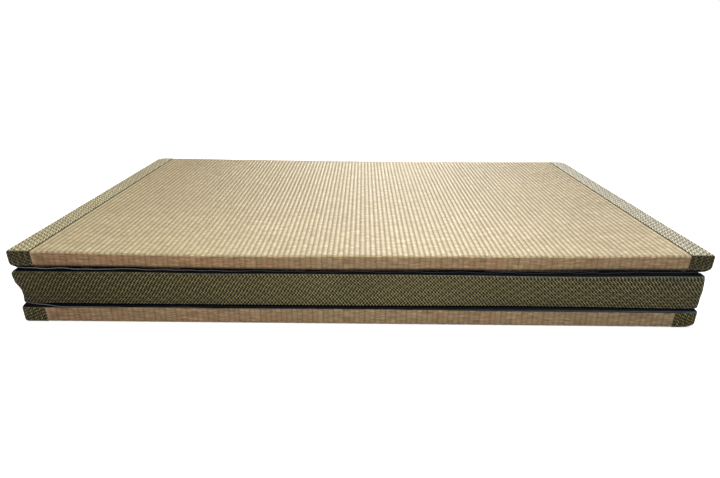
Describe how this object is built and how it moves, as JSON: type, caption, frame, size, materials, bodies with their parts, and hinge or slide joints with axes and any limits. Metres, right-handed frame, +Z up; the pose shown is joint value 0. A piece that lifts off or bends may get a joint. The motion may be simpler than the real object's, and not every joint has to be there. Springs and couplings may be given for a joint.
{
  "type": "folding tatami mat",
  "caption": "Woven rush floor mat in filled panels with olive cloth bindings and black backings, folded back and forth into a flat stack.",
  "frame": {"origin": "middle of the underside of the folded stack, on the surface it lies on", "axes": "+X along the width of the mat, from one cloth binding to the other; +Y from the front of the stack, where the two free ends show, to its back; +Z up"},
  "size_m": [0.9, 0.525, 0.102],
  "materials": {
    "rush": "ribbed woven rush, pale straw with brown and cream stems, dry with a soft gloss on the ribs",
    "binding": "dark olive herringbone tape with a lighter thread, softly lustrous at low angles",
    "hinge_band": "dark olive herringbone cloth with a lighter thread, matte",
    "backing": "black bonded backing cloth with a faint blue-grey sheen"
  },
  "bodies": {
    "root": {"rush_panel_1": "rush", "rush_panel_2": "rush", "rush_panel_3": "rush", "rush_panel_4": "rush", "binding_left_1": "binding", "binding_left_2": "binding", "binding_left_3": "binding", "binding_left_4": "binding", "binding_right_1": "binding", "binding_right_2": "binding", "binding_right_3": "binding", "binding_right_4": "binding", "backing_1": "backing", "backing_2": "backing", "backing_3": "backing", "backing_4": "backing", "hinge_band_front": "hinge_band", "hinge_band_back_lower": "hinge_band", "hinge_band_back_upper": "hinge_band"}
  },
  "joints": []
}
